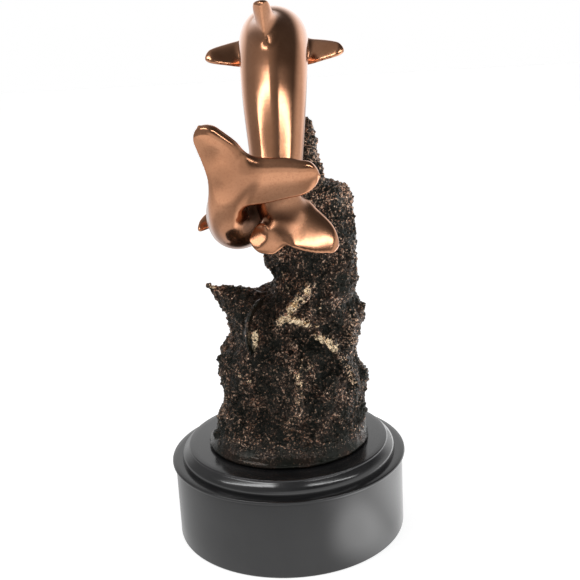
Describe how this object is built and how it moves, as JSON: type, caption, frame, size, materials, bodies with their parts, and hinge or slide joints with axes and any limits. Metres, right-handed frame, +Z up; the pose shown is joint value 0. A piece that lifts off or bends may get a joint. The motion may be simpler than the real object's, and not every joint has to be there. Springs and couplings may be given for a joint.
{
  "type": "bronze dolphin trophy",
  "caption": "Tabletop trophy: a pair of leaping bronze dolphins over a craggy coral reef, set on a round stepped black plinth.",
  "frame": {"origin": "centre of the plinth's flat underside", "axes": "+Z up, +Y the way the dolphins swim, +X to the right when looking along +Y at their tails"},
  "size_m": [0.1302, 0.1731, 0.285],
  "materials": {
    "black_lacquer": "satin black lacquer over turned wood",
    "antique_bronze": "dark antique bronze patina with copper rubbed over the raised grain",
    "copper_bronze": "smooth polished copper bronze, browner towards the edges"
  },
  "bodies": {
    "root": {"plinth": "black_lacquer", "coral_reef": "antique_bronze", "upper_dolphin": "copper_bronze", "lower_dolphin": "copper_bronze"}
  },
  "joints": []
}
